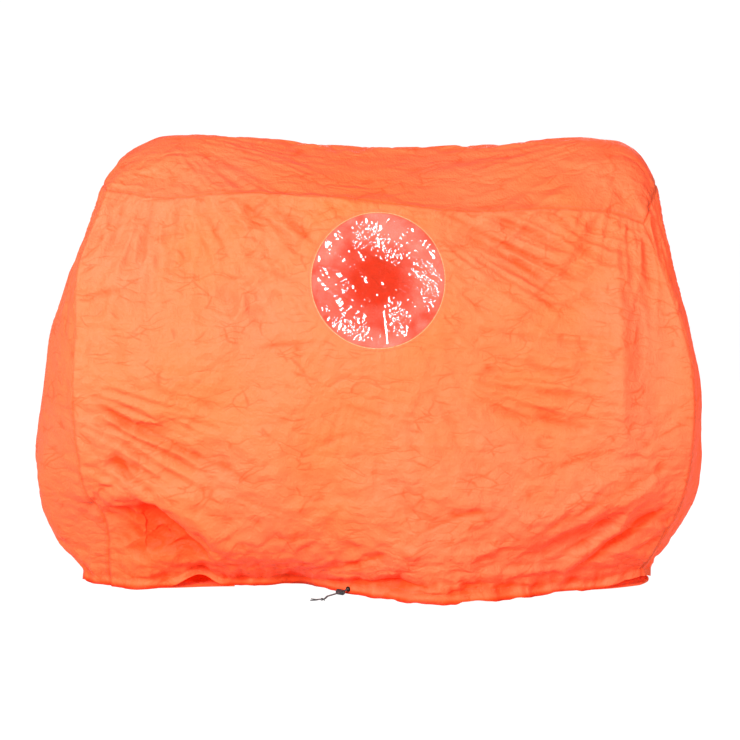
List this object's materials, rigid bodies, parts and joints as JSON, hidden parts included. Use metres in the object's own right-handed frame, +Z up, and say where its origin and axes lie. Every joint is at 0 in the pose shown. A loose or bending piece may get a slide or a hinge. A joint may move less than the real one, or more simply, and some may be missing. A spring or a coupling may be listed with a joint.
{
  "type": "survival shelter",
  "caption": "Nylon group survival shelter standing as worn, with roof and wall panels, a round clear window, ground flaps and a gathered hem with a cord lock.",
  "frame": {"origin": "on the ground, at the middle of the space that the shelter covers", "axes": "+Z up, +X along the shelter to the right of someone facing the window, -Y out of the window side"},
  "size_m": [1.4072, 0.5964, 0.9434],
  "materials": {
    "orange_nylon": "thin ripstop-free plain weave, softly crinkled",
    "seam_tape": "matte tape",
    "thread": "stitched thread",
    "window_film": "clear crinkled film",
    "floor_cloth": "coated cloth",
    "black_cord": "braided cord",
    "lock_plastic": "moulded",
    "eyelet_metal": "blackened",
    "spring_steel": "drawn wire"
  },
  "bodies": {
    "shelter": {"front_panel": "orange_nylon", "back_panel": "orange_nylon", "left_end_panel": "orange_nylon", "right_end_panel": "orange_nylon", "roof_panel": "orange_nylon", "window_pane": "window_film", "window_stitching": "thread", "roof_front_tape": "seam_tape", "roof_back_tape": "seam_tape", "roof_left_tape": "seam_tape", "roof_right_tape": "seam_tape", "front_left_tape": "seam_tape", "front_right_tape": "seam_tape", "back_left_tape": "seam_tape", "back_right_tape": "seam_tape", "hem_facing": "seam_tape", "left_seat_flap": "floor_cloth", "right_seat_flap": "floor_cloth", "drawcord": "black_cord", "cord_eyelet": "eyelet_metal", "eyelet_washer": "eyelet_metal", "cord_tail_left": "black_cord", "cord_tail_right": "black_cord", "cord_knot": "black_cord", "cord_end_left": "black_cord", "cord_end_right": "black_cord"},
    "cord_lock": {"cord_lock_barrel": "lock_plastic", "cord_lock_spring": "spring_steel"},
    "lock_button": {"cord_lock_button": "lock_plastic"}
  },
  "joints": [
    {"name": "cord_lock_slide", "type": "slide", "parent": "shelter", "child": "cord_lock", "axis": [-0.5878, -0.809, 0], "range_m": [0, 0.036]},
    {"name": "lock_button_press", "type": "slide", "parent": "cord_lock", "child": "lock_button", "axis": [-0.809, 0.5878, 0], "range_m": [0, 0.0024], "stiffness_N_per_m": 400, "springref_m": -0.0016, "deforming": ["cord_lock_spring"]}
  ]
}
